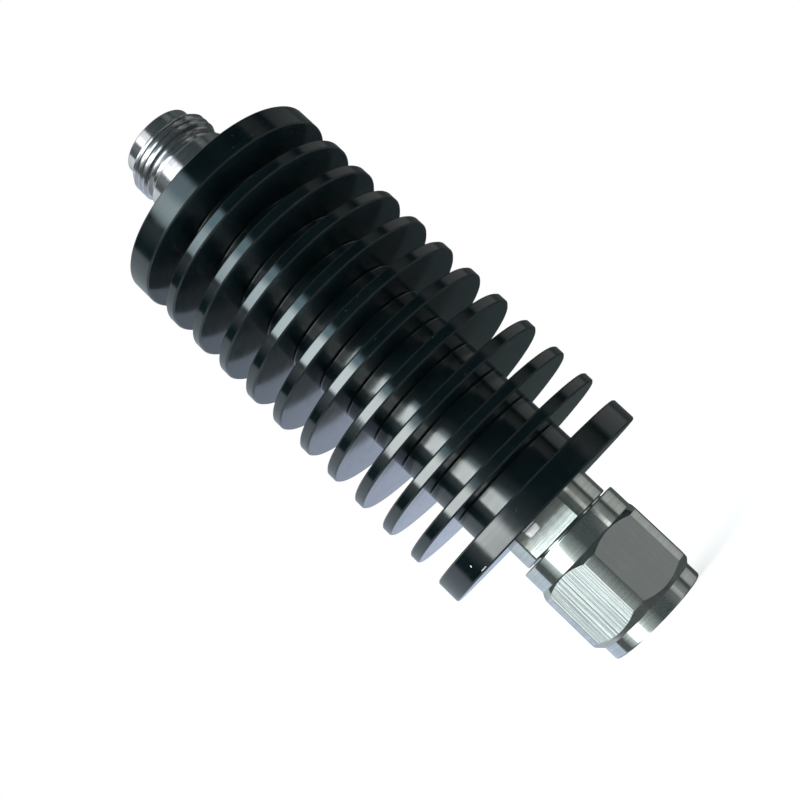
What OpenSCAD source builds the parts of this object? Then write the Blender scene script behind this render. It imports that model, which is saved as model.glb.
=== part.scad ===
// Finned coaxial attenuator with a screw-on male connector at the bottom
// and a threaded female connector at the top, both in the 7 mm line size.
// Millimetres. The line of the connectors is the Z axis, and the part stands
// on the front face of the coupling nut at Z = 0.

/* [Heat sink] */
// Diameter of the fins and of both end flanges
fin_d = 38.5; // [34:0.5:56]
// Diameter of the core between the fins
core_d = 21.2; // [19:0.2:26]
// Number of thin fins between the two end flanges
fin_n = 10; // [8:1:14]
// Thickness of one fin
fin_t = 1.87; // [1:0.01:2.2]
// Open gap between two neighbouring fins
fin_gap = 4.09; // [3.4:0.01:6.5]
// Thickness of each end flange
flange_t = 4.2; // [3:0.1:7.5]
// Chamfer on the edges of fins and flanges
edge_c = 0.25; // [0.1:0.05:0.4]

/* [Coupling nut] */
// Width across the flats of the hexagon
nut_af = 18.92; // [18.8:0.02:19.4]
// Diameter of the turned bar, left as a narrow band at each corner
nut_corner_d = 20.76; // [20.4:0.02:21.2]
// Diameter of the round ring in front of the hexagon
nut_ring_d = 17.6; // [17.2:0.1:18]
// Length of that front ring
nut_ring_l = 2.4; // [1.6:0.1:3.4]
// Diameter of the round collar behind the hexagon
nut_collar_d = 18.7; // [18:0.1:18.8]
// Length of that rear collar
nut_collar_l = 3.8; // [3:0.05:4.6]
// Whole length of the nut
nut_l = 18.25; // [18:0.05:19]
// Turn of the hexagon about the line, in degrees
nut_turn = -94.4; // [-120:0.1:-60]

/* [Male body] */
// Diameter of the neck behind the nut
neck_d = 16.4; // [15.4:0.1:17]
// Visible length of the neck
neck_l = 4.2; // [3.6:0.1:7.5]
// Width across the two wrench flats on the neck
neck_af = 13.75; // [13.2:0.05:14.6]
// Length of the round shoulder left between the flats and the nut
neck_shoulder = 0.3; // [0.3:0.1:1.4]
// Direction that the first wrench flat faces, in degrees
flat_turn = -105; // [-180:1:180]

/* [Female body] */
// Diameter of the smooth collar next to the flange
collar_d = 15.8; // [15:0.1:16.6]
// Length of that collar
collar_l = 7.66; // [5:0.02:9.5]
// Length of the relief between collar and thread
relief_l = 1.45; // [1:0.05:2.2]
// Length of the outer thread
thread_l = 3.7; // [3.2:0.1:5]
// Length of the plain lip in front of the thread
lip_l = 2.35; // [1.6:0.05:3]
// Diameter of that lip
lip_d = 13; // [12:0.1:13.6]

/* [Resistor card] */
// Width of the ceramic card
card_w = 7; // [5:0.1:7]
// Length of the ceramic card
card_l = 27; // [20:1:27]
// Thickness of the ceramic card
card_t = 1; // [0.6:0.1:1]

/* [Hidden] */
$fn = 96;
e = 0.01;

// Line size: the outer conductor is 7.00 mm inside, the centre 3.04 mm
line_r = 3.5;
centre_r = 1.52;
waist_r = 1.1;
thread_r = 7.9375;
thread_minor_r = 7.45;

// Stations along Z, from the mating face of the nut upward
z_sleeve = 2.2;                       // tip of the male outer contact
z_pin_tip = 4.1;
z_pin_root = z_sleeve + 5.28;         // shoulder of the male centre conductor
z_seat = 12.6;                        // front face of the male body
z_bead_m = z_seat + 1.9;
bead_m_l = 3;
z_groove = 15.6;                      // groove of the snap ring
groove_l = 1;
z_neck = nut_l + 0.2;
z_sink = z_neck + neck_l;             // outer face of the male side flange
pitch = fin_t + fin_gap;
sink_l = 2 * flange_t + fin_n * pitch + fin_gap;
z_top = z_sink + sink_l;              // outer face of the female side flange
plug_l = 11.7;                        // depth of each connector in the core
plug_r = 7.2;                         // female side
plug_m_r = 6.5;                       // male side, inside the wrench flats
cav_r = 7;                            // bore for the element
z_el0 = z_sink + plug_l;
z_el1 = z_top - plug_l;
z_thread = z_top + collar_l + relief_l + thread_l;
z_end = z_thread + lip_l;
z_ref = z_end - 9.1;                  // floor of the female barrel
barrel_r = 4.1;
bead_f_r = 4.6;
z_bead_f = z_el1 + 8;
bead_f_l = 3.5;
z_mid = (z_el0 + z_el1) / 2;
chan_l = card_l + 3;                  // air box over the card
card_y = -2.5;                        // underside of the card
film_y = card_y + card_t;
film_t = 0.08;
tab_t = 0.2;
tab_y = film_y + film_t;
lead_flat = tab_y + tab_t;            // flat on the end of each lead
lead_in = z_mid - card_l / 2 - 0.5;   // end of the male lead
lead_out = z_mid + card_l / 2 + 0.5;  // end of the female lead
screw_x = 4.9;
screw_zs = [z_el0 + 6, z_el1 - 6];

hex_r = nut_af / 2 / cos(30);

// One disc of the heat sink as points from the bore side outward, chamfered
function disc(z, t, last) = concat(
    [[core_d / 2, z], [fin_d / 2 - edge_c, z], [fin_d / 2, z + edge_c],
     [fin_d / 2, z + t - edge_c], [fin_d / 2 - edge_c, z + t]],
    last ? [] : [[core_d / 2, z + t]]);

// A turned solid from outline points [radius, height]
module turned(p) { rotate_extrude() polygon(p); }

// A tube of a given inner and outer radius
module tube(ri, ro, z, l) {
    turned([[ri, z], [ro, z], [ro, z + l], [ri, z + l]]);
}

module heat_sink() {
    fins = [for (i = [0 : fin_n - 1])
            each disc(z_sink + flange_t + fin_gap + i * pitch, fin_t, false)];
    outline = concat(
        [[plug_m_r, z_sink], [fin_d / 2 - edge_c, z_sink],
         [fin_d / 2, z_sink + edge_c],
         [fin_d / 2, z_sink + flange_t - edge_c],
         [fin_d / 2 - edge_c, z_sink + flange_t],
         [core_d / 2, z_sink + flange_t]],
        fins,
        disc(z_top - flange_t, flange_t, true),
        [[plug_r, z_top], [plug_r, z_el1], [cav_r, z_el1],
         [cav_r, z_el0], [plug_m_r, z_el0]]);
    color([0.05, 0.06, 0.07]) turned(outline);
}

module female_shell() {
    c = collar_d / 2;
    lip = lip_d / 2;
    zc = z_top + collar_l;
    zt = zc + relief_l;
    color([0.78, 0.78, 0.79]) turned([
        [bead_f_r, z_el1], [plug_r - 0.3, z_el1], [plug_r, z_el1 + 0.3],
        [plug_r, z_top], [c, z_top], [c, zc - 0.3], [c - 0.3, zc],
        [6.4, zc], [6.4, zt], [thread_r - 0.35, zt], [thread_r, zt + 0.35],
        [thread_r, z_thread - 0.7], [thread_r - 0.7, z_thread],
        [lip, z_thread], [lip, z_end - 0.25], [lip - 0.25, z_end],
        [barrel_r + 0.3, z_end], [barrel_r, z_end - 0.3],
        [barrel_r, z_ref], [line_r, z_ref],
        [line_r, z_bead_f + bead_f_l], [bead_f_r, z_bead_f + bead_f_l]]);
}

module female_bush() {
    color([0.8, 0.7, 0.42]) tube(line_r, bead_f_r, z_el1, z_bead_f - z_el1);
}

// White bead that holds a centre conductor at its waist. It is slit on one
// side, so that it snaps over the waist.
module bead(r, z, l, turn) {
    rotate([0, 0, turn]) difference() {
        translate([0, 0, z]) cylinder(r = r, h = l);
        translate([0, 0, z - 1]) cylinder(r = waist_r, h = l + 2);
        translate([0, -waist_r + 0.2, z - 1])
            cube([r + 1, 2 * waist_r - 0.4, l + 2]);
    }
}

module female_insulator() {
    color([0.95, 0.95, 0.93]) bead(bead_f_r, z_bead_f, bead_f_l, 40);
}

module male_insulator() {
    color([0.95, 0.95, 0.93]) bead(5, z_bead_m, bead_m_l, 200);
}

// Centre conductor with a split socket for the mating pin
module female_contact() {
    tip = z_ref + 5.26;
    color([0.86, 0.68, 0.3]) difference() {
        turned([[0, lead_out], [centre_r, lead_out],
                [centre_r, z_bead_f], [waist_r, z_bead_f],
                [waist_r, z_bead_f + bead_f_l],
                [centre_r, z_bead_f + bead_f_l],
                [centre_r, tip - 0.25], [centre_r - 0.25, tip],
                [0.83, tip], [0.83, tip - 4.6], [0, tip - 5]]);
        for (a = [0, 90])
            rotate([0, 0, a + 20])
                translate([-2, -0.125, tip - 4]) cube([4, 0.25, 5]);
        translate([-2, -3, lead_out - 1]) cube([4, 3 + lead_flat, 4]);
    }
}

// Centre conductor with the bare pin at its lower end
module male_pin() {
    color([0.86, 0.68, 0.3]) difference() {
        turned([[0, z_pin_tip], [0.3, z_pin_tip], [0.815, z_pin_tip + 0.9],
                [0.815, z_pin_root], [centre_r - 0.1, z_pin_root],
                [centre_r, z_pin_root + 0.1], [centre_r, z_bead_m],
                [waist_r, z_bead_m], [waist_r, z_bead_m + bead_m_l],
                [centre_r, z_bead_m + bead_m_l], [centre_r, lead_in],
                [0, lead_in]]);
        translate([-2, -3, lead_in - 3]) cube([4, 3 + lead_flat, 4]);
    }
}

module male_body() {
    n = neck_d / 2;
    color([0.7, 0.7, 0.69]) difference() {
        turned([
            [5, z_seat], [6.94, z_seat], [7.24, z_seat + 0.3],
            [7.24, z_groove], [6.5, z_groove], [6.5, z_groove + groove_l],
            [7.24, z_groove + groove_l], [7.24, z_neck],
            [n - 0.2, z_neck], [n, z_neck + 0.2], [n, z_sink],
            [plug_m_r, z_sink], [plug_m_r, z_el0 - 0.3],
            [plug_m_r - 0.3, z_el0],
            [line_r, z_el0], [line_r, z_bead_m + bead_m_l],
            [5, z_bead_m + bead_m_l]]);
        for (a = [0, 180])
            rotate([0, 0, flat_turn + a])
                translate([neck_af / 2, -10, z_neck + neck_shoulder])
                    cube([10, 20, neck_l - neck_shoulder + 1]);
    }
}

// Springy outer contact: a tube with four slots and a pressed-in foot
module male_outer_contact() {
    color([0.8, 0.8, 0.8]) difference() {
        turned([[line_r, z_sleeve + 0.15], [line_r + 0.15, z_sleeve],
                [3.85, z_sleeve], [4.03, z_sleeve + 0.18],
                [4.03, z_seat], [5, z_seat], [5, z_bead_m],
                [line_r, z_bead_m]]);
        for (a = [0, 90])
            rotate([0, 0, a + 45])
                translate([-6, -0.25, z_sleeve - 1]) cube([12, 0.5, 7.8]);
    }
}

module nut_gasket() {
    color([0.62, 0.12, 0.08]) tube(4.2, 7.1, z_seat - 1.6, 1.6);
}

// Open ring in the groove of the male body, which keeps the nut on
module snap_ring() {
    color([0.55, 0.55, 0.56]) difference() {
        tube(6.5, 8.15, z_groove, 0.9);
        rotate([0, 0, 60]) translate([5, -1.5, z_groove - 1]) cube([5, 3, 3]);
    }
}

module coupling_nut() {
    ring = nut_ring_d / 2;
    col = nut_collar_d / 2;
    z1 = nut_ring_l;
    z2 = nut_l - nut_collar_l;
    rc = nut_corner_d / 2;
    color([0.66, 0.66, 0.65]) difference() {
        union() {
            turned([[6, 0], [ring - 0.3, 0], [ring, 0.3], [ring, z1 + e],
                    [6, z1 + e]]);
            turned([[6, z2 - e], [col, z2 - e], [col, nut_l - 0.25],
                    [col - 0.25, nut_l], [6, nut_l]]);
            // hexagon milled on the round bar, both ends turned off at 45 degrees
            intersection() {
                rotate([0, 0, nut_turn]) translate([0, 0, z1])
                    cylinder(r = hex_r, h = z2 - z1, $fn = 6);
                turned([[0, z1], [ring, z1], [rc, z1 + rc - ring],
                        [rc, z2 - rc + col], [col, z2], [0, z2]]);
            }
        }
        // mouth, thread, relief and the lip that runs on the male body
        turned([[0, -1], [8.1, -1], [8.1, 1], [thread_minor_r, 1.8],
                [thread_minor_r, 10.2], [8.45, 11], [8.45, z_groove + 1.2],
                [7.3, z_groove + 1.2], [7.3, nut_l + 1], [0, nut_l + 1]]);
    }
}

// Half of the split housing round the card; side = -1 holds the card
module element_half(side) {
    difference() {
        intersection() {
            translate([0, 0, z_el0]) cylinder(r = cav_r, h = z_el1 - z_el0);
            translate([-10, side < 0 ? -10 : 0, z_el0 - 1])
                cube([20, 10, z_el1 - z_el0 + 2]);
        }
        translate([0, 0, z_el0 - 1]) cylinder(r = line_r,
                                              h = z_mid - chan_l / 2 - z_el0 + 1);
        translate([0, 0, z_mid + chan_l / 2]) cylinder(r = line_r,
                                              h = z_el1 - z_mid - chan_l / 2 + 1);
        translate([-card_w / 2 - 0.05, side < 0 ? card_y : -1,
                   z_mid - chan_l / 2 - e])
            cube([card_w + 0.1, 1 - card_y, chan_l + 2 * e]);
        for (x = [-screw_x, screw_x], z = screw_zs)
            translate([x, 0, z]) rotate([-90, 0, 0]) {
                translate([0, 0, -3.4]) cylinder(r = 0.7, h = 8);
                translate([0, 0, 2.2]) cylinder(r = 1.2, h = 8);
            }
    }
}

module element_carrier() { color([0.82, 0.82, 0.83]) element_half(-1); }

module element_cover() { color([0.82, 0.82, 0.83]) element_half(1); }

module cover_screw(i) {
    x = i % 2 == 0 ? -screw_x : screw_x;
    z = screw_zs[floor(i / 2)];
    color([0.3, 0.3, 0.31]) translate([x, 0, z]) rotate([-90, 0, 0])
        difference() {
            union() {
                translate([0, 0, -3.4]) cylinder(r = 0.7, h = 5.6);
                translate([0, 0, 2.2]) cylinder(r = 1.2, h = 1);
            }
            translate([0, 0, 2.7]) cylinder(r = 0.75, h = 1, $fn = 6);
        }
}

module cover_screw_1() { cover_screw(0); }
module cover_screw_2() { cover_screw(1); }
module cover_screw_3() { cover_screw(2); }
module cover_screw_4() { cover_screw(3); }

module resistor_card() {
    color([0.93, 0.93, 0.9])
        translate([-card_w / 2, card_y, z_mid - card_l / 2])
            cube([card_w, card_t, card_l]);
}

// Printed resistor with a narrow pad at each end
module resistor_film() {
    a = card_l / 2 - 0.5;
    color([0.13, 0.13, 0.14]) translate([0, film_y + film_t, z_mid])
        rotate([90, 0, 0]) linear_extrude(film_t)
            polygon([[-1.2, -a], [1.2, -a], [1.2, 4 - a], [2.6, 5 - a],
                     [2.6, a - 5], [1.2, a - 4], [1.2, a], [-1.2, a],
                     [-1.2, a - 4], [-2.6, a - 5], [-2.6, 5 - a],
                     [-1.2, 4 - a]]);
}

module ribbon(z) {
    translate([-0.9, tab_y, z]) cube([1.8, tab_t, 6]);
}

module male_ribbon() {
    color([0.88, 0.74, 0.4]) ribbon(lead_in - 2.5);
}

module female_ribbon() {
    color([0.88, 0.74, 0.4]) ribbon(lead_out - 3.5);
}

heat_sink();
female_shell();
female_insulator();
female_bush();
female_contact();
male_body();
male_outer_contact();
male_insulator();
male_pin();
nut_gasket();
snap_ring();
coupling_nut();
element_carrier();
element_cover();
cover_screw_1();
cover_screw_2();
cover_screw_3();
cover_screw_4();
resistor_card();
resistor_film();
male_ribbon();
female_ribbon();
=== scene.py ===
"""Looks of the finned coaxial attenuator: high-resolution turned pieces, cut threads,
procedural finishes, a pale floor, soft studio light and the photograph's camera."""

import math

import bmesh  # noqa: E402
import bpy  # noqa: E402
from mathutils import Matrix, Vector  # noqa: E402


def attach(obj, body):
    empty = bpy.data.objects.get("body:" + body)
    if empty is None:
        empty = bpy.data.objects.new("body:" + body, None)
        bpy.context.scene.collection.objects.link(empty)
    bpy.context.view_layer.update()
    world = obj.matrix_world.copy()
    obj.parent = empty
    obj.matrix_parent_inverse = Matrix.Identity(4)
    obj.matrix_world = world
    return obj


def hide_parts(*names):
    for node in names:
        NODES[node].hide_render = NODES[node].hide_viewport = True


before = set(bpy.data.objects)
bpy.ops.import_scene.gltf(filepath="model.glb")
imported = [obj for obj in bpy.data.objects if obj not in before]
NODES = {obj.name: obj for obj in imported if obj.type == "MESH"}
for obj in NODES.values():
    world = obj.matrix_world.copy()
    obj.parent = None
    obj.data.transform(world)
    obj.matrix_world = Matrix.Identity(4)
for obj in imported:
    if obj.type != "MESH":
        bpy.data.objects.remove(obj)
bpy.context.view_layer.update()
MM = 0.001

# ---------------------------------------------------------------- camera
cam_data = bpy.data.cameras.new("camera")
cam = bpy.data.objects.new("camera", cam_data)
bpy.context.scene.collection.objects.link(cam)
right = Vector((0.68941, 0.13564, -0.71157))
up = Vector((0.72417, -0.10505, 0.68158))
right.normalize()
up = (up - right * up.dot(right)).normalized()
back = right.cross(up)
m = Matrix((right, up, back)).transposed().to_4x4()
m.translation = Vector((0, -0.18110, 0.019388))
cam.matrix_world = m
cam_data.sensor_width = 36
cam_data.lens = 52.98
cam_data.clip_start = 0.005
cam_data.clip_end = 50
bpy.context.scene.camera = cam

# ---------------------------------------------------------------- sizes, in mm
R_FIN, R_CORE = 19.25, 10.6
FIN_T, GAP, FLANGE, N_FIN = 1.87, 4.09, 4.2, 10
PITCH = FIN_T + GAP
NUT_L = 18.25
Z_NECK = NUT_L + 0.2
Z_SINK = Z_NECK + 4.2
Z_TOP = Z_SINK + 2 * FLANGE + N_FIN * PITCH + GAP
Z_COLLAR = Z_TOP + 7.66
Z_THREAD = Z_COLLAR + 1.45
Z_LIP = Z_THREAD + 3.7
Z_END = Z_LIP + 2.35
EL0, EL1 = Z_SINK + 11.7, Z_TOP - 11.7
THREAD_PITCH = 25.4 / 24


# ---------------------------------------------------------------- mesh tools
def soften(points, steps=4):
    """Closed outline of (r, z) or (r, z, radius): corners with a radius become arcs."""
    out, n = [], len(points)
    for i, p in enumerate(points):
        if len(p) == 2 or p[2] <= 0:
            out.append((p[0], p[1]))
            continue
        a, c = Vector(points[i - 1][:2]), Vector(points[(i + 1) % n][:2])
        b = Vector(p[:2])
        u, v = (a - b), (c - b)
        lu, lv = u.length, v.length
        u.normalize(), v.normalize()
        half = math.acos(max(-1, min(1, u.dot(v)))) / 2
        t = min(p[2] / math.tan(half), lu * 0.48, lv * 0.48)
        rad = t * math.tan(half)
        centre = b + (u + v).normalized() * (rad / math.sin(half))
        s, e = b + u * t - centre, b + v * t - centre
        turn = math.atan2(s.x * e.y - s.y * e.x, s.dot(e))
        for k in range(steps + 1):
            w = turn * k / steps
            d = Vector((s.x * math.cos(w) - s.y * math.sin(w), s.x * math.sin(w) + s.y * math.cos(w)))
            out.append((centre.x + d.x, centre.y + d.y))
    return out


def even(n, extra=()):
    """n even angles round the axis, plus exact ones that matter."""
    base = [2 * math.pi * i / n for i in range(n)]
    keep = list(extra)
    for a in base:
        if all(abs((a - b + math.pi) % (2 * math.pi) - math.pi) > math.pi / n * 0.6 for b in extra):
            keep.append(a)
    return sorted(a % (2 * math.pi) for a in keep)


def finish_mesh(bm, name, mats, smooth_deg=32, flats=True):
    bmesh.ops.remove_doubles(bm, verts=bm.verts, dist=4e-8)
    bmesh.ops.dissolve_degenerate(bm, dist=2e-8, edges=bm.edges)
    loose = [v for v in bm.verts if not v.link_faces]
    if loose:
        bmesh.ops.delete(bm, geom=loose, context="VERTS")
    bmesh.ops.recalc_face_normals(bm, faces=bm.faces)
    open_edges = sum(1 for e in bm.edges if len(e.link_faces) != 2)
    me = bpy.data.meshes.new(name)
    bm.to_mesh(me)
    bm.free()
    for mat in mats:
        me.materials.append(mat)
    me.polygons.foreach_set("use_smooth", [True] * len(me.polygons))
    me.set_sharp_from_angle(angle=math.radians(smooth_deg))
    me.update()
    ob = bpy.data.objects.new(name, me)
    bpy.context.scene.collection.objects.link(ob)
    if flats:
        flat_faces(ob)
    print("piece", name, "faces", len(me.polygons), "open edges", open_edges)
    return ob


def flat_faces(ob):
    """Large faces keep their own direction, and only the small roundings shade over."""
    md = ob.modifiers.new("weights", "WEIGHTED_NORMAL")
    md.mode, md.weight, md.keep_sharp = "FACE_AREA", 50, True


def true_normals(ob, flats):
    """Shading normals of a turned piece: milled faces (materials in flats) stay flat,
    turned faces follow the circle, and neighbouring rows blend where they meet softly."""
    me = ob.data
    parts = [[] for v in me.vertices]
    own = []
    for p in me.polygons:
        n, c = p.normal, p.center
        h = math.hypot(c.x, c.y)
        if p.material_index in flats or h < 1e-7 or abs(n.z) > 0.9999:
            own.append(None)
            continue
        ex, ey = c.x / h, c.y / h
        f = Vector((n.x * ex + n.y * ey, n.y * ex - n.x * ey, n.z))
        if abs(f.y) > 0.2:
            own.append(None)
            continue
        f = Vector((f.x, 0.0, f.z)).normalized()
        own.append(f)
        for v in p.vertices:
            parts[v].append((f, p.area))
    normals = [None] * len(me.loops)
    for p in me.polygons:
        f = own[p.index]
        for li in p.loop_indices:
            if f is None:
                normals[li] = p.normal.copy()
                continue
            vi = me.loops[li].vertex_index
            s = Vector((0, 0, 0))
            for g, area in parts[vi]:
                if f.dot(g) > 0.82:
                    s += g * area
            s.normalize()
            co = me.vertices[vi].co
            h = math.hypot(co.x, co.y)
            normals[li] = Vector((s.x * co.x / h, s.x * co.y / h, s.z)) if h > 1e-7 else p.normal.copy()
    me.normals_split_custom_set(normals)


def turned(name, angles, column, mats, seam=None, slot_of=None, smooth_deg=32, flats=True):
    """Closed solid of revolution whose outline may change with the angle.
    column(angle) gives the outline; seam(k) is the row that row k meets after a full turn."""
    bm = bmesh.new()
    cols, axis = [], {}
    for a in angles:
        ca, sa = math.cos(a), math.sin(a)
        col = []
        for k, (r, z) in enumerate(column(a)):
            if r < 1e-6:
                if k not in axis:
                    axis[k] = bm.verts.new((0, 0, z * MM))
                col.append(axis[k])
            else:
                col.append(bm.verts.new((r * ca * MM, r * sa * MM, z * MM)))
        cols.append(col)
    n, rows = len(cols), len(cols[0])
    for i in range(n):
        a, b = cols[i], cols[(i + 1) % n]
        wrap = i == n - 1 and seam is not None
        for k in range(rows):
            k2 = (k + 1) % rows
            p, q = (seam(k), seam(k2)) if wrap else (k, k2)
            ring = []
            for v in (a[k], a[k2], b[q], b[p]):
                if v not in ring and all((v.co - w.co).length > 1e-9 for w in ring):
                    ring.append(v)
            if len(ring) >= 3:
                try:
                    f = bm.faces.new(ring)
                except ValueError:
                    continue
                if slot_of:
                    f.material_index = slot_of(k)
    return finish_mesh(bm, name, mats, smooth_deg, flats)


def lathe(name, outline, mats, seg=256, slot_of=None, smooth_deg=32):
    return turned(name, even(seg), lambda a: outline, mats, slot_of=slot_of, smooth_deg=smooth_deg)


def cut(ob, cutters):
    """Takes the cutters' volume out of ob and leaves a plain mesh."""
    for c in cutters:
        md = ob.modifiers.new("cut", "BOOLEAN")
        md.operation, md.object, md.solver = "DIFFERENCE", c, "EXACT"
    dg = bpy.context.evaluated_depsgraph_get()
    me = bpy.data.meshes.new_from_object(ob.evaluated_get(dg), depsgraph=dg)
    ob.modifiers.clear()
    old = ob.data
    ob.data = me
    me.name = ob.name
    bpy.data.meshes.remove(old)
    me.polygons.foreach_set("use_smooth", [True] * len(me.polygons))
    me.set_sharp_from_angle(angle=math.radians(32))
    flat_faces(ob)
    for c in cutters:
        old = c.data
        bpy.data.objects.remove(c)
        bpy.data.meshes.remove(old)
    return ob


def block(lo, hi, turn=0.0):
    """Box cutter in mm, turned about the axis by turn degrees."""
    bm = bmesh.new()
    bmesh.ops.create_cube(bm, size=1)
    for v in bm.verts:
        v.co = Vector([(lo[i] + hi[i]) / 2 + v.co[i] * (hi[i] - lo[i]) for i in range(3)]) * MM
    bmesh.ops.rotate(bm, verts=bm.verts, cent=(0, 0, 0), matrix=Matrix.Rotation(math.radians(turn), 3, "Z"))
    me = bpy.data.meshes.new("cutter")
    bm.to_mesh(me)
    bm.free()
    ob = bpy.data.objects.new("cutter", me)
    bpy.context.scene.collection.objects.link(ob)
    return ob


def thread_rows(z0, z1, pitch, table, env):
    """Rows of a single-start thread between z0 and z1. table is one pitch of (phase, radius);
    env(z) is the plain radius that the thread runs out into, as (limit, keep)."""
    per = len(table)
    turns = math.ceil((z1 - z0) / pitch) + 2
    total = turns * per

    def rows(angle):
        out = []
        for j in range(total):
            ph, rad = table[j % per]
            s = z0 - pitch + (j // per + ph) * pitch + pitch * angle / (2 * math.pi)
            if s <= z0:
                out.append((env(z0, None), z0))
            elif s >= z1:
                out.append((env(z1, None), z1))
            else:
                out.append((env(s, rad), s))
        return out

    return rows, total, per


# ---------------------------------------------------------------- node tools
class Net:
    def __init__(self, tree):
        self.t = tree

    def new(self, kind, **kw):
        n = self.t.nodes.new(kind)
        for k, v in kw.items():
            setattr(n, k, v)
        return n

    def set(self, sock, v):
        if isinstance(v, bpy.types.NodeSocket):
            self.t.links.new(v, sock)
        else:
            sock.default_value = v

    def math(self, op, a, b=0.0, c=None, clamp=False):
        n = self.new("ShaderNodeMath", operation=op, use_clamp=clamp)
        self.set(n.inputs[0], a)
        self.set(n.inputs[1], b)
        if c is not None:
            self.set(n.inputs[2], c)
        return n.outputs[0]

    def remap(self, v, a, b, lo=0.0, hi=1.0, smooth=True):
        n = self.new("ShaderNodeMapRange", interpolation_type="SMOOTHSTEP" if smooth else "LINEAR")
        self.set(n.inputs["Value"], v)
        for k, x in (("From Min", a), ("From Max", b), ("To Min", lo), ("To Max", hi)):
            self.set(n.inputs[k], x)
        return n.outputs["Result"]

    def vec(self, x, y, z):
        n = self.new("ShaderNodeCombineXYZ")
        for i, v in enumerate((x, y, z)):
            self.set(n.inputs[i], v)
        return n.outputs[0]

    def noise(self, vector, scale=1.0, detail=2.0, rough=0.5):
        n = self.new("ShaderNodeTexNoise", noise_dimensions="3D")
        self.set(n.inputs["Vector"], vector)
        n.inputs["Scale"].default_value = scale
        n.inputs["Detail"].default_value = detail
        n.inputs["Roughness"].default_value = rough
        return n.outputs["Fac"]

    def mix(self, f, a, b):
        n = self.new("ShaderNodeMix", data_type="RGBA")
        self.set(n.inputs["Factor"], f)
        self.set(n.inputs["A"], a)
        self.set(n.inputs["B"], b)
        return n.outputs["Result"]

    def ramp(self, f, stops):
        n = self.new("ShaderNodeValToRGB")
        e = n.color_ramp.elements
        while len(e) < len(stops):
            e.new(0.5)
        for el, (p, c) in zip(e, stops):
            el.position, el.color = p, (*c, 1)
        self.set(n.inputs[0], f)
        return n.outputs["Color"]

    def place(self):
        """Object-space x, y, z and r of the shaded point, in mm."""
        tc = self.new("ShaderNodeTexCoord")
        sep = self.new("ShaderNodeSeparateXYZ")
        self.t.links.new(tc.outputs["Object"], sep.inputs[0])
        x, y, z = (self.math("MULTIPLY", sep.outputs[i], 1000.0) for i in range(3))
        r = self.math("SQRT", self.math("ADD", self.math("MULTIPLY", x, x), self.math("MULTIPLY", y, y)))
        return x, y, z, r

    def bump(self, height, strength, distance, normal=None):
        n = self.new("ShaderNodeBump")
        n.inputs["Strength"].default_value = strength
        n.inputs["Distance"].default_value = distance
        self.set(n.inputs["Height"], height)
        if normal is not None:
            self.set(n.inputs["Normal"], normal)
        return n.outputs["Normal"]


def shader(name, **sockets):
    mat = bpy.data.materials.new(name)
    mat.use_nodes = True
    mat.node_tree.nodes.clear()
    net = Net(mat.node_tree)
    out = net.new("ShaderNodeOutputMaterial")
    p = net.new("ShaderNodeBsdfPrincipled")
    mat.node_tree.links.new(p.outputs[0], out.inputs[0])
    for k, v in sockets.items():
        p.inputs[k.replace("_", " ")].default_value = v
    return mat, net, p


def col(r, g, b):
    return (r, g, b, 1.0)


def round_tangent(net, p, rotation=0.25):
    """Brushing round the axis: highlights spread across the turning lines."""
    t = net.new("ShaderNodeTangent", direction_type="RADIAL", axis="Z")
    net.t.links.new(t.outputs[0], p.inputs["Tangent"])
    p.inputs["Anisotropic Rotation"].default_value = rotation


def ring_grain(net, place, fine, slow, detail=3.0, rough=0.6):
    """Turning lines: quick change along the outline, slow change round the axis."""
    x, y, z, r = place
    rr = net.math("MAXIMUM", r, 0.05)
    path = net.math("MULTIPLY", net.math("ADD", z, r), fine)
    cx = net.math("MULTIPLY", net.math("DIVIDE", x, rr), slow)
    cy = net.math("MULTIPLY", net.math("DIVIDE", y, rr), slow)
    return net.noise(net.vec(path, cx, cy), 1.0, detail, rough)


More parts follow.
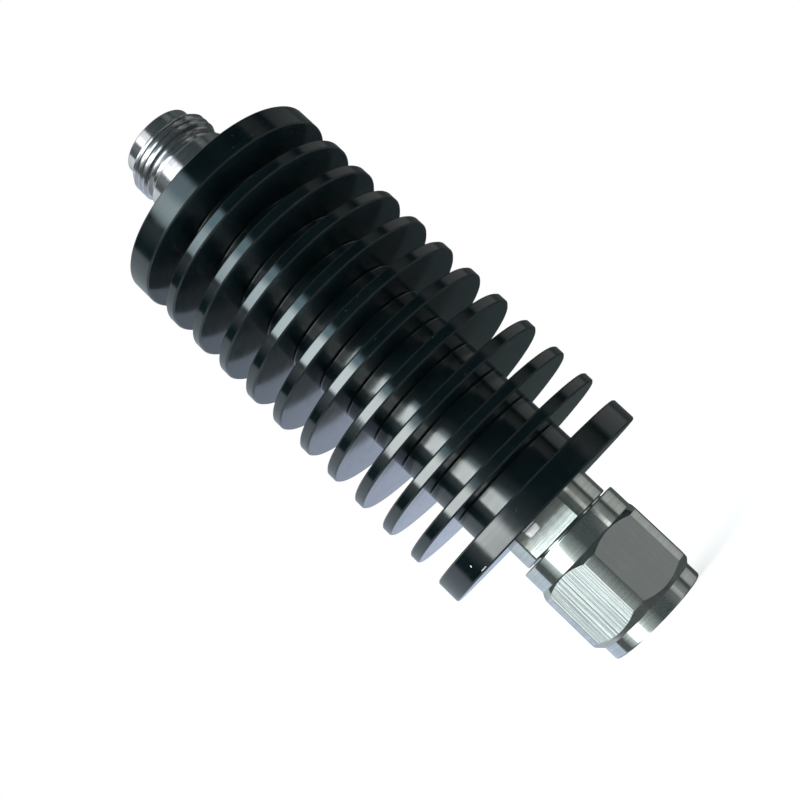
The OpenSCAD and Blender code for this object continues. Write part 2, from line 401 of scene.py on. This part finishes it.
def metal(name, base, dark, rough, spread, fine=6.0, slow=1.5, aniso=0.5, bump=0.15, lines="turned", tint=0.25, solid=1.0, depth=0.00002, painted_shade=None):
    """Plated or turned metal with a directional grain."""
    mat, net, p = shader(name, Metallic=solid)
    place = net.place()
    x, y, z, r = place
    if lines == "turned":
        g = ring_grain(net, place, fine, slow)
        round_tangent(net, p)
    elif lines == "across":  # straight cutter marks across the axis
        g = net.noise(net.vec(net.math("MULTIPLY", x, slow), net.math("MULTIPLY", y, slow), net.math("MULTIPLY", z, fine)), 1.0, 3.0, 0.65)
        round_tangent(net, p)
    else:  # brushed along the axis
        g = net.noise(net.vec(net.math("MULTIPLY", x, fine), net.math("MULTIPLY", y, fine), net.math("MULTIPLY", z, slow)), 1.0, 3.0, 0.7)
        round_tangent(net, p, 0.0)
    p.inputs["Anisotropic"].default_value = aniso
    cloud = net.noise(net.vec(x, y, z), 0.35, 3.0, 0.55)
    f = net.math("ADD", net.math("MULTIPLY", g, 0.65), net.math("MULTIPLY", cloud, 0.35))
    tone = net.mix(net.remap(f, 0.36, 0.36 + tint * 1.4), col(*dark), col(*base))
    if painted_shade:
        # painted shade along the axis: dark against the flange, where the flange's shade and reflection fall; places
        # in mm, and how much of the clean tone is left there
        wave = net.math("MULTIPLY", net.math("SUBTRACT", net.noise(net.vec(x, y, z), 0.9, 3.0, 0.6), 0.5), 0.9)
        lo, hi = painted_shade[0][0], painted_shade[-1][0]
        left = net.ramp(net.remap(net.math("ADD", z, wave), lo, hi, 0.0, 1.0, False), [((a - lo) / (hi - lo), (k, k, k)) for a, k in painted_shade])
        n = net.new("ShaderNodeMix", data_type="RGBA", blend_type="MULTIPLY")
        net.set(n.inputs["Factor"], 1.0)
        net.set(n.inputs["A"], tone)
        net.set(n.inputs["B"], left)
        tone = n.outputs["Result"]
    net.set(p.inputs["Base Color"], tone)
    net.set(p.inputs["Roughness"], net.remap(f, 0.3, 0.7, rough + spread, rough, False))
    net.set(p.inputs["Normal"], net.bump(g, bump, depth))
    return mat


# ---------------------------------------------------------------- finishes
def black_finish(name, rough=0.15, fine=5.0, bump=0.12, marks=(), aniso=0.35, lift=0.0, grain=1.0, tone_k=1.0):
    """Glossy black anodising over fine turning lines, with a little dust and handling haze."""
    mat, net, p = shader(name, Metallic=0.0, IOR=1.52)
    place = net.place()
    x, y, z, r = place
    p.inputs["Anisotropic"].default_value = aniso
    round_tangent(net, p)
    g = ring_grain(net, place, fine, 1.2)
    broad = ring_grain(net, place, 1.1, 2.6, 2.0, 0.5)
    cloud = net.noise(net.vec(x, y, z), 0.22, 4.0, 0.6)
    tone = net.math("ADD", net.math("MULTIPLY", g, 0.5), net.math("MULTIPLY", cloud, 0.5))
    lo = (0.0013 * tone_k + lift, 0.0036 * tone_k + lift, 0.0043 * tone_k + lift)
    hi = (0.0036 * tone_k + lift, 0.0074 * tone_k + lift, 0.0086 * tone_k + lift)
    base = net.mix(net.remap(tone, 0.35, 0.68), col(*lo), col(*hi))
    dust = net.noise(net.vec(x, y, z), 3.4, 1.0, 0.4)
    speck = net.remap(dust, 0.775, 0.80)
    base = net.mix(net.math("MULTIPLY", speck, 0.22), base, col(0.30, 0.31, 0.31))
    mixed = net.math("ADD", net.math("MULTIPLY", broad, 0.6), net.math("MULTIPLY", cloud, 0.4))
    rough_v = net.remap(mixed, 0.3, 0.72, rough - 0.035 * grain, rough + 0.06 * grain, False)
    for (ax, ay, az_, bx, by, bz, size, rgb) in marks:
        # distance from a short stroke between two points
        d = Vector((bx - ax, by - ay, bz - az_))
        ln = max(d.length_squared, 1e-6)
        dot = net.math("MULTIPLY", net.math("SUBTRACT", x, ax), d.x / ln)
        dot = net.math("ADD", dot, net.math("MULTIPLY", net.math("SUBTRACT", y, ay), d.y / ln))
        dot = net.math("ADD", dot, net.math("MULTIPLY", net.math("SUBTRACT", z, az_), d.z / ln), clamp=True)
        ex = net.math("SUBTRACT", x, net.math("ADD", net.math("MULTIPLY", dot, d.x), ax))
        ey = net.math("SUBTRACT", y, net.math("ADD", net.math("MULTIPLY", dot, d.y), ay))
        ez = net.math("SUBTRACT", z, net.math("ADD", net.math("MULTIPLY", dot, d.z), az_))
        d2 = net.math("ADD", net.math("ADD", net.math("MULTIPLY", ex, ex), net.math("MULTIPLY", ey, ey)), net.math("MULTIPLY", ez, ez))
        wob = net.math("MULTIPLY", net.noise(net.vec(x, y, z), 4.0, 2.0), 0.5)
        f = net.remap(net.math("ADD", net.math("DIVIDE", net.math("SQRT", d2), size), wob), 0.85, 1.25, 1.0, 0.0)
        base = net.mix(f, base, col(*rgb))
    net.set(p.inputs["Base Color"], base)
    net.set(p.inputs["Roughness"], rough_v)
    net.set(p.inputs["Normal"], net.bump(g, bump, 0.00002))
    return mat


def plain(name, base, other, rough, scale=1.2, bump=0.1, metallic=0.0, spread=0.08, **extra):
    """Cloudy two-tone finish for beads, cards, seals and inner pieces."""
    mat, net, p = shader(name, Metallic=metallic, **extra)
    x, y, z, r = net.place()
    n1 = net.noise(net.vec(x, y, z), scale, 4.0, 0.6)
    n2 = net.noise(net.vec(x, y, z), scale * 9, 3.0, 0.6)
    f = net.math("ADD", net.math("MULTIPLY", n1, 0.6), net.math("MULTIPLY", n2, 0.4))
    net.set(p.inputs["Base Color"], net.mix(net.remap(f, 0.35, 0.65), col(*base), col(*other)))
    net.set(p.inputs["Roughness"], net.remap(f, 0.3, 0.7, rough - spread / 2, rough + spread / 2, False))
    net.set(p.inputs["Normal"], net.bump(n2, bump, 0.00003))
    return mat


MARKS = [
    # chipped spots and a short scratch on the rim of the male side flange
    (-13.02, -14.18, 24.54, -12.98, -14.22, 24.62, 0.15, (0.75, 0.76, 0.76)),
    (-12.33, -14.78, 23.05, -11.49, -15.44, 23.05, 0.09, (0.50, 0.51, 0.51)),
]
black_face = black_finish("black_anodised_face", 0.12, tone_k=2.3)
black_rim = black_finish("black_anodised_fin_rim", 0.09, grain=0.6)
black_flange = black_finish("black_anodised_flange_rim", 0.12, marks=MARKS)
black_edge = black_finish("black_anodised_edge", 0.22, lift=0.010, bump=0.05)
nickel_turned = metal("nickel_turned", (0.68, 0.70, 0.67), (0.54, 0.56, 0.53), 0.07, 0.06, fine=5.0, slow=0.6, aniso=0.45, bump=0.05, solid=0.93)
nickel_flat = metal("nickel_flat_brushed", (0.66, 0.69, 0.67), (0.54, 0.57, 0.56), 0.08, 0.06, fine=3.2, slow=0.014, aniso=0.6, bump=1.0, lines="axial", tint=0.35, solid=0.93, depth=0.000026)
nickel_worn = metal("nickel_flat_worn", (0.65, 0.65, 0.63), (0.57, 0.57, 0.55), 0.34, 0.08, fine=2.2, slow=0.25, aniso=0.5, bump=0.6, lines="axial", tint=0.35, solid=0.93, depth=0.000012)
PAINTED_FLANGE_SHADE = [(18.4, 1.0), (19.5, 0.88), (20.0, 0.72), (20.5, 0.52), (21.0, 0.42), (21.5, 0.20), (22.3, 0.22), (22.8, 0.24)]  # painted shade: dark against the flange, where its shade and reflection fall
# milled wrench flats: bright tone with painted shade that darkens them towards the flange
nickel_milled = metal("nickel_milled_flat", (0.90, 0.92, 0.89), (0.56, 0.58, 0.56), 0.09, 0.05, fine=3.4, slow=0.12, aniso=0.8, bump=0.35, lines="across", tint=0.3, solid=0.93, painted_shade=PAINTED_FLANGE_SHADE)
nickel_bright = metal("nickel_bright", (0.68, 0.67, 0.68), (0.54, 0.53, 0.54), 0.13, 0.08, fine=3.0, slow=0.7, aniso=0.2, bump=0.05, solid=0.95)
gold = metal("gold_plate", (0.86, 0.62, 0.26), (0.66, 0.45, 0.18), 0.18, 0.10, fine=7.0, aniso=0.3, bump=0.1)
brass = metal("brass_plain", (0.72, 0.55, 0.27), (0.52, 0.38, 0.17), 0.28, 0.12, fine=5.0, aniso=0.4)
bronze = metal("spring_bronze", (0.50, 0.40, 0.28), (0.34, 0.26, 0.17), 0.32, 0.12, fine=5.0, aniso=0.4)
aluminium = metal("bare_aluminium", (0.80, 0.80, 0.81), (0.62, 0.62, 0.64), 0.30, 0.12, fine=4.0, aniso=0.4)
steel = metal("screw_steel", (0.30, 0.30, 0.31), (0.16, 0.16, 0.17), 0.30, 0.12, fine=4.0, aniso=0.2)
foil = metal("gold_foil", (0.88, 0.68, 0.32), (0.70, 0.50, 0.22), 0.22, 0.10, fine=3.0, aniso=0.1)
ptfe = plain("ptfe", (0.90, 0.90, 0.88), (0.82, 0.82, 0.79), 0.42, Subsurface_Weight=0.15)
rubber = plain("gasket_rubber", (0.42, 0.05, 0.03), (0.30, 0.035, 0.022), 0.55)
ceramic = plain("alumina", (0.88, 0.88, 0.85), (0.80, 0.80, 0.76), 0.55)
ink = plain("resistor_ink", (0.030, 0.030, 0.034), (0.055, 0.055, 0.060), 0.45)
paint = plain("locking_paint", (0.96, 0.96, 0.96), (0.92, 0.92, 0.92), 0.34, scale=0.9, bump=0.2, IOR=1.85, Coat_Weight=0.6, Coat_Roughness=0.3)


# ---------------------------------------------------------------- heat sink
def heat_sink_outline():
    """Outline from the bore outward and up, with each point's finish:
    0 face, 1 fin rim, 2 edge, 3 flange rim."""
    pts, fin = [], []
    c, R, core = 0.25, R_FIN, R_CORE

    def add(p, f):
        pts.append(p)
        fin.append(f)

    def disc(z, t, first=False, last=False):
        rim = 3 if first or last else 1
        if first:
            add((6.5, z), 0)
        else:
            add((core, z, 0.3), 0)
        add((R - c, z, 0.04), 2)
        add((R, z + c, 0.04), rim)
        add((R, z + t - c, 0.04), 2)
        add((R - c, z + t, 0.04), 0)
        if last:
            add((7.2, z + t), 0)
        else:
            add((core, z + t, 0.3), 0)

    disc(Z_SINK, FLANGE, first=True)
    for i in range(N_FIN):
        disc(Z_SINK + FLANGE + GAP + i * PITCH, FIN_T)
    disc(Z_TOP - FLANGE, FLANGE, last=True)
    for p in ((7.2, EL1), (7.0, EL1), (7.0, EL0), (6.5, EL0)):
        add(p, 0)
    out, slots = [], []
    steps = 3
    for i, p in enumerate(pts):
        got = soften([pts[i - 1][:2], p, pts[(i + 1) % len(pts)][:2]], steps)[1:-1]
        out += got
        # the run after this corner carries its finish; the arc itself counts as edge on rims
        slots += [2 if len(got) > 1 and p[0] > R_FIN - 1 else 0] * (len(got) - 1) + [fin[i]]
    return out, slots


outline, slots = heat_sink_outline()
heat_sink = lathe("heat_sink_body", outline, [black_face, black_rim, black_edge, black_flange], seg=320, slot_of=lambda k: slots[k])
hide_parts("heat_sink")
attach(heat_sink, "attenuator")


# ---------------------------------------------------------------- coupling nut
def nut():
    af, ring, colr, z1, z2 = 9.46, 8.8, 9.35, 2.4, NUT_L - 3.8
    bar, turn = 10.38, math.radians(-94.4)
    band = math.pi / 6 - math.acos(af / bar)  # half the angle that the bar keeps at a corner
    deg = math.radians(1)

    def hexr(a):
        d = (a - turn + math.pi / 6) % (math.pi / 3) - math.pi / 6  # from the nearest corner
        return min(bar, af / math.cos(math.pi / 6 - abs(d)))

    extra = []
    for k in range(6):
        for w in (-band - 0.7 * deg, -band - 0.12 * deg, -band + 0.12 * deg, -band + 0.7 * deg):
            for sgn in (-1, 1):
                extra.append((turn + k * math.pi / 3 + sgn * w) % (2 * math.pi))
    minor, major, pitch = 7.45, 8.02, THREAD_PITCH
    table = [(0.0, major), (0.20, major), (0.235, major - 0.03), (0.50, minor + 0.03), (0.54, minor), (0.70, minor), (0.74, minor + 0.03), (0.965, major - 0.03)]

    def env(z, rad):
        # a lead cone at each end opens from the plain bore
        if rad is None:
            return minor
        return min(rad, minor + min(z - 1.8, 10.2 - z) * 1.4)

    rows, total, per = thread_rows(1.8, 10.2, pitch, table, env)

    def column(a):
        h = hexr(a)
        za, zb = z1 + (h - ring), z2 - (h - colr)
        e = 0.05
        head = [(8.1, 0.0), (ring - 0.3, 0.0), (ring - 0.12, 0.07), (ring, 0.3), (ring, z1 - 0.04), (ring + 0.03, z1)]
        body = [(h - e, za - e), (h, za + e)]
        body += [(h, za + (zb - za) * t) for t in (0.2, 0.4, 0.6, 0.8)]
        body += [(h, zb - e), (h - e, zb + e)]
        tail = [(colr + 0.03, z2), (colr, z2 + 0.04), (colr, NUT_L - 0.25), (colr - 0.08, NUT_L - 0.08), (colr - 0.25, NUT_L), (7.3, NUT_L), (7.3, 16.8), (8.45, 16.8), (8.45, 11.0)]
        return head + body + tail + rows(a)[::-1]

    n_head, n_body, n_tail = 6, 8, 9
    base = n_head + n_body + n_tail

    def seam(k):
        if k < base:
            return k
        j = total - 1 - (k - base)  # thread row, from the mouth
        j = min(j + per, total - 1)
        return base + total - 1 - j

    def slot_of(k):
        return 1 if n_head + 1 <= k < n_head + n_body - 2 else 0

    ob = turned("coupling_nut_body", even(240, extra), column, [nickel_turned, nickel_flat, nickel_worn], seam=seam, slot_of=slot_of, flats=False)
    for p in ob.data.polygons:
        if p.material_index == 1:
            a = (math.atan2(p.center.y, p.center.x) - turn) / (math.pi / 3)
            if abs(a - round(a)) * math.pi / 3 < band:
                p.material_index = 0
            elif math.floor(a) % 2 == 0:
                p.material_index = 2
    true_normals(ob, (1, 2))
    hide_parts("coupling_nut")
    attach(ob, "nut")
    return ob


nut_ob = nut()


# ---------------------------------------------------------------- female end
def female():
    minor, major, lip = 7.29, 7.9375, 6.5
    zt, zl = Z_THREAD, Z_LIP
    table = [(0.0, major), (0.10, major), (0.14, major - 0.04), (0.42, minor + 0.05), (0.47, minor), (0.62, minor), (0.67, minor + 0.05), (0.95, major - 0.04)]

    def env(z, rad):
        # the turned-down start and end of the thread
        lim = min(7.35 + (z - zt) * 1.3, 7.40 + (zl - z) * 0.8, major)
        return lim if rad is None else min(rad, lim)

    rows, total, per = thread_rows(zt, zl, THREAD_PITCH, table, env)
    z_ref, bead = Z_END - 9.1, EL1 + 11.5
    head = soften([(4.6, EL1), (6.9, EL1), (7.2, EL1 + 0.3), (7.2, Z_TOP - 0.02), (7.85, Z_TOP - 0.02, 0.03), (7.9, Z_TOP + 0.05), (7.9, Z_COLLAR, 0.25), (6.4, Z_COLLAR, 0.15), (6.4, zt, 0.15), (7.2, zt)], 4)
    tail = soften([(7.2, zl), (lip, zl, 0.1), (lip, Z_END, 0.25), (4.4, Z_END, 0.05), (4.1, Z_END - 0.3, 0.05), (4.1, z_ref, 0.08), (3.5, z_ref, 0.05), (3.5, bead), (4.6, bead)], 4)[1:]

    def column(a):
        return head[:-1] + rows(a) + tail

    n0 = len(head) - 1

    def seam(k):
        if n0 <= k < n0 + total:
            return n0 + min(k - n0 + per, total - 1)
        return k

    ob = turned("female_shell_body", even(240), column, [nickel_bright], seam=seam, flats=False)
    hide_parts("female_shell")
    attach(ob, "attenuator")
    return ob


female()


# ---------------------------------------------------------------- male end
def male_body():
    n, zn, zs, flat = 8.2, Z_NECK, Z_SINK, 6.875
    face = math.radians(-105)
    half = math.acos(flat / n)
    edges = [(face + s * math.pi + w * half) % (2 * math.pi) for s in (0, 1) for w in (-1, 1)]
    zf = zn + 0.3
    inner = [(3.5, EL0), (3.5, 17.5), (5.0, 17.5), (5.0, 12.6)]

    def column(a):
        d = abs((a - face + math.pi / 2) % math.pi - math.pi / 2)
        r = min(n, flat / math.cos(d)) if d < half + 1e-6 else n
        c = 0.05 if r < n - 0.02 else 0.0
        out = [(5.0, 12.6), (6.94, 12.6), (7.24, 12.9), (7.24, 15.6), (6.5, 15.6), (6.5, 16.6), (7.24, 16.6), (7.24, zn), (n - 0.2, zn), (n - 0.06, zn + 0.06), (n, zn + 0.2), (n, zf - c), (n - c, zf), (r, zf), (r, zs), (6.5, zs), (6.5, EL0 - 0.3), (6.2, EL0)]
        return out + inner[:-1]

    def slot_of(k):
        return 0

    ob = turned("male_body_shell", even(240, edges), column, [nickel_turned, nickel_milled], slot_of=slot_of, smooth_deg=25, flats=False)
    # the two wrench flats carry the milled finish
    me = ob.data
    nx, ny = math.cos(face), math.sin(face)
    for p in me.polygons:
        k = abs(p.normal.x * nx + p.normal.y * ny)
        if k > 0.999 and zf * MM < p.center.z < (zs + 0.01) * MM and abs(p.center.x * nx + p.center.y * ny) > (flat - 0.05) * MM:
            p.material_index = 1
    true_normals(ob, (1,))
    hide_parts("male_body")
    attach(ob, "attenuator")
    return ob


male_body()


def male_outer_contact():
    pts = soften([(3.5, 2.35), (3.65, 2.2, 0.04), (3.85, 2.2, 0.04), (4.03, 2.38, 0.05), (4.03, 12.6, 0.1), (5.0, 12.6), (5.0, 14.5), (3.5, 14.5)], 3)
    ob = lathe("male_outer_contact_sleeve", pts, [nickel_bright], seg=160)
    cut(ob, [block((-6, -0.25, 1.2), (6, 0.25, 9.0), 45), block((-6, -0.25, 1.2), (6, 0.25, 9.0), 135)])
    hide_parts("male_outer_contact")
    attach(ob, "attenuator")
    return ob


male_outer_contact()

gasket = lathe("nut_gasket_ring", soften([(4.2, 11.0, 0.25), (7.1, 11.0, 0.25), (7.1, 12.6, 0.1), (4.2, 12.6, 0.1)], 5), [rubber], seg=160)
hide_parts("nut_gasket")
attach(gasket, "attenuator")


# ---------------------------------------------------------------- locking paint
def paint_dab():
    """Small domed dab of white paint on the wrench flat, close to the flange."""
    a = math.radians(-105)
    n, t = Vector((math.cos(a), math.sin(a), 0)), Vector((-math.sin(a), math.cos(a), 0))
    bm = bmesh.new()
    bmesh.ops.create_uvsphere(bm, u_segments=64, v_segments=32, radius=1)
    for v in bm.verts:
        x, y, z = v.co
        k = (abs(x) ** 5 + abs(y) ** 5) ** (1 / 5) if (abs(x) + abs(y)) > 1e-6 else 1
        h = math.hypot(x, y)
        s = h / k if k > 1e-6 and h > 1e-6 else 1
        wob = 1 + 0.03 * math.sin(3 * math.atan2(y, x) + 0.6) + 0.02 * math.sin(5 * math.atan2(y, x))
        lift = 6.875 + (max(z, 0) ** 0.8 * 0.28 if z > 0 else 0)
        p = n * lift + t * (-1.76 + x * s * wob * 1.16) + Vector((0, 0, 22.0 + y * s * wob * 0.62))
        v.co = p * MM
    return finish_mesh(bm, "locking_paint_dab", [paint], 60)


dab = paint_dab()
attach(dab, "attenuator")

# ---------------------------------------------------------------- CAD nodes that stay
FINISH = {
    "female_insulator": ptfe, "male_insulator": ptfe, "female_bush": brass,
    "female_contact": gold, "male_pin": gold, "snap_ring": bronze,
    "element_carrier": aluminium, "element_cover": aluminium,
    "cover_screw_1": steel, "cover_screw_2": steel, "cover_screw_3": steel, "cover_screw_4": steel,
    "resistor_card": ceramic, "resistor_film": ink, "male_ribbon": foil, "female_ribbon": foil,
}
for name, mat in FINISH.items():
    for slot in NODES[name].material_slots:
        slot.material = mat

# ---------------------------------------------------------------- floor
bm = bmesh.new()
bmesh.ops.create_circle(bm, cap_ends=True, radius=2.5, segments=96)
me = bpy.data.meshes.new("floor")
bm.to_mesh(me)
bm.free()
floor = bpy.data.objects.new("floor", me)
bpy.context.scene.collection.objects.link(floor)
fmat, fnet, fp = shader("floor", Roughness=0.9, Metallic=0.0)
fp.inputs["Base Color"].default_value = col(0.8, 0.8, 0.8)
fp.inputs["Specular IOR Level"].default_value = 0.0
fp.inputs["Emission Color"].default_value = col(1, 1, 1)
fp.inputs["Emission Strength"].default_value = 0.75
me.materials.append(fmat)
floor.visible_glossy = False

# ---------------------------------------------------------------- light
world = bpy.data.worlds.new("studio")
bpy.context.scene.world = world
world.use_nodes = True
world.node_tree.nodes.clear()
w = Net(world.node_tree)
tc = w.new("ShaderNodeTexCoord")
sep = w.new("ShaderNodeSeparateXYZ")
w.t.links.new(tc.outputs["Generated"], sep.inputs[0])
dx, dy, dz = sep.outputs
# azimuth is 0 on the front side, toward -Y, and grows toward +X; elevation is above the floor
az = w.math("DEGREES", w.math("ARCTAN2", dx, w.math("MULTIPLY", dy, -1.0)))
el = w.math("DEGREES", w.math("ARCSINE", dz))


def edge(v, at, soft):
    """0 below at, 1 above it."""
    if isinstance(at, bpy.types.NodeSocket):
        return w.remap(v, w.math("SUBTRACT", at, soft / 2), w.math("ADD", at, soft / 2))
    return w.remap(v, at - soft / 2, at + soft / 2)


def span(v, lo, hi, s_lo, s_hi):
    return w.math("MULTIPLY", edge(v, lo, s_lo), w.math("SUBTRACT", 1.0, edge(v, hi, s_hi)))


def linear(v, a, b, lo, hi):
    return w.remap(v, a, b, lo, hi, False)


def profile(v, stops, lo=-90.0, hi=90.0):
    """Piecewise linear curve of v through (place, value) stops, values up to 1."""
    pos = linear(v, lo, hi, 0.0, 1.0)
    return w.ramp(pos, [((a - lo) / (hi - lo), (k, k, k)) for a, k in stops])


def times(*f):
    out = f[0]
    for k in f[1:]:
        out = w.math("MULTIPLY", out, k)
    return out


def plus(*f):
    out = f[0]
    for k in f[1:]:
        out = w.math("ADD", out, k)
    return out


def add_light(strength, colour):
    global total
    n = w.new("ShaderNodeMix", data_type="RGBA", blend_type="ADD", clamp_factor=False)
    w.set(n.inputs["Factor"], strength)
    w.set(n.inputs["A"], total)
    w.set(n.inputs["B"], colour)
    total = n.outputs["Result"]


total = w.new("ShaderNodeRGB").outputs[0]
total.default_value = col(0.020, 0.035, 0.036)

# pale wall on the left above the table, and the table itself
wall_edge = linear(el, 0.0, 9.0, -104.5, -99.5)
left_part = w.math("SUBTRACT", 1.0, edge(az, wall_edge, 5.0))
above = edge(el, 0.0, 4.0)
wall = times(linear(az, -165.0, -110.0, 0.48, 0.97), left_part, above)
add_light(wall, w.mix(linear(el, 23.0, 26.0, 0.0, 1.0), col(0.81, 0.91, 1.0), col(0.88, 0.94, 0.98)))
table = times(linear(el, -16.0, -11.5, 0.60, 0.84), linear(az, -165.0, -110.0, 1.0, 1.05), left_part, w.math("SUBTRACT", 1.0, above), profile(el, [(-90, 0.35), (-52, 0.45), (-42, 1.0), (90, 1.0)]))
add_light(table, w.mix(linear(el, -32.0, -18.0, 0.0, 1.0), col(0.80, 0.84, 0.90), col(0.70, 0.79, 1.0)))

# large window on the front left, bright low down and fading upward
left = plus(linear(el, 8.0, 10.5, -65.0, -57.0), linear(el, 23.0, 26.0, 0.0, 7.0))
rise = linear(el, 1.0, 11.0, -36.5, -26.0)
drop = linear(el, 18.0, 24.0, 0.0, -3.0)
right_edge = plus(rise, drop)
height = profile(el, [(-90, 0.18), (-10, 0.20), (0.2, 0.26), (1.6, 0.70), (4, 0.92), (8, 0.97), (14, 1.0), (17.5, 0.76), (21, 0.58), (23, 0.47), (28, 0.30), (36, 0.16), (55, 0.06), (90, 0.03)])
side = w.math("SUBTRACT", 1.0, times(linear(el, 14.0, 22.0, 0.0, 1.0), linear(az, -57.0, -40.0, 0.35, 0.0)))
main = times(span(az, left, right_edge, 5.0, 10.0), height, side, 13.5)
tone = w.mix(linear(el, 8.0, 23.0, 0.0, 1.0), col(0.93, 1.0, 0.99), col(0.70, 0.92, 1.0))
add_light(main, w.mix(linear(el, 24.0, 27.5, 0.0, 1.0), tone, col(0.96, 0.97, 1.0)))

# its shaded right-hand part
slant = linear(el, 2.0, 23.0, -25.0, -6.0)
dim = times(span(az, right_edge, slant, 6.0, 8.0), profile(el, [(-90, 0.03), (2.2, 0.06), (4.2, 0.40), (10, 1.0), (22, 1.0), (40, 0.3), (90, 0.0)]), 3.6)
shade = w.mix(linear(el, 2.0, 5.0, 0.0, 1.0), col(0.85, 0.96, 0.95), col(0.58, 0.88, 1.0))
add_light(dim, w.mix(linear(el, 24.0, 27.0, 0.0, 1.0), shade, col(0.80, 0.82, 0.85)))

# glow on both sides of the window
glow = times(linear(az, -36.0, 4.0, 0.62, 0.0), edge(az, -44.0, 10.0), w.math("SUBTRACT", 1.0, edge(el, 9.0, 6.0)))
add_light(glow, col(0.92, 1.0, 1.0))
glow_left = times(linear(az, -86.0, -66.0, 0.0, 0.85), w.math("SUBTRACT", 1.0, edge(az, -60.0, 8.0)), linear(el, 12.0, 26.0, 1.0, 0.4), linear(el, 23.5, 26.5, 1.0, 0.3))
add_light(glow_left, col(0.90, 0.98, 1.0))

# thin lamp and the room on the right
lamp = times(span(az, 58.5, 68.0, 4.0, 5.0), profile(el, [(-90, 0.25), (-5.0, 0.25), (-2.2, 1.0), (-0.8, 1.0), (0.1, 0.08), (0.8, 0.0), (90, 0.0)]), 1.5)
add_light(lamp, col(1.0, 1.0, 0.98))
fill = times(linear(az, 34.0, 50.0, 0.0, 0.11), w.math("SUBTRACT", 1.0, edge(az, 60.0, 6.0)), w.math("SUBTRACT", 1.0, edge(el, 0.3, 2.0)))
add_light(fill, col(1.0, 1.0, 0.95))
room = times(linear(az, 66.0, 86.0, 0.30, 0.12), edge(az, 66.0, 8.0), w.math("SUBTRACT", 1.0, edge(az, 86.0, 10.0)), linear(el, 23.5, 27.0, 1.0, 0.5))
add_light(room, col(1.0, 1.0, 0.99))
patch = times(span(az, 96.0, 136.0, 8.0, 10.0), profile(el, [(-90, 0.2), (-25, 0.3), (-8, 0.95), (0, 1.0), (10, 0.9), (21, 0.8), (26, 0.15), (60, 0.15), (90, 0.1)]), linear(az, 112.0, 136.0, 0.46, 0.30))
add_light(patch, col(1.0, 1.0, 0.98))
back_wall = times(edge(az, 138.0, 10.0), linear(el, -6.0, 2.0, 0.03, 0.07))
add_light(back_wall, col(1.0, 1.0, 1.0))
# ceiling, far above what the front of the part reflects
ceiling = times(edge(el, 62.0, 24.0), 0.34)
add_light(ceiling, col(0.97, 0.99, 1.0))

# the floor in the part's own shade, straight below
below = w.new("ShaderNodeVectorMath", operation="SCALE")
w.set(below.inputs[0], total)
w.set(below.inputs["Scale"], linear(el, -62.0, -40.0, 0.16, 1.0))
bg = w.new("ShaderNodeBackground")
w.set(bg.inputs["Color"], below.outputs[0])
white = w.new("ShaderNodeBackground")
white.inputs["Color"].default_value = col(1, 1, 1)
lp = w.new("ShaderNodeLightPath")
mixs = w.new("ShaderNodeMixShader")
w.t.links.new(lp.outputs["Is Camera Ray"], mixs.inputs[0])
w.t.links.new(bg.outputs[0], mixs.inputs[1])
w.t.links.new(white.outputs[0], mixs.inputs[2])
wo = w.new("ShaderNodeOutputWorld")
w.t.links.new(mixs.outputs[0], wo.inputs[0])

view = bpy.context.scene.view_settings
view.view_transform = "Standard"
view.look = "None"

bpy.context.view_layer.update()
